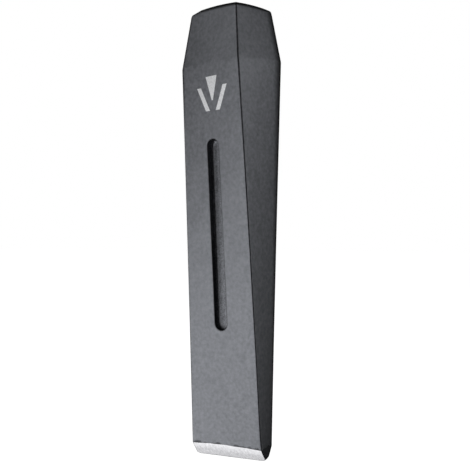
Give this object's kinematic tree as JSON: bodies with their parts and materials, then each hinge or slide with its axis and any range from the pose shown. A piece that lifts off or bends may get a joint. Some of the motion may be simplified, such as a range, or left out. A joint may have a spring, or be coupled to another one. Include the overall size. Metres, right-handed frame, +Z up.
{
  "type": "twisted splitting wedge",
  "caption": "Twisted steel wedge with a chamfered, domed striking head, a long groove in each wide face and a ground cutting edge, driven into logs to split them.",
  "frame": {"origin": "middle of the cutting edge", "axes": "+Z up the wedge to the crown, X along the cutting edge, the lower end of the front wide face looks towards -Y"},
  "size_m": [0.0509, 0.0463, 0.25],
  "materials": {
    "satin_paint": "satin",
    "ground_steel": "satin",
    "white_print": "matte"
  },
  "bodies": {
    "root": {"wedge_forging": "satin_paint"}
  },
  "joints": []
}
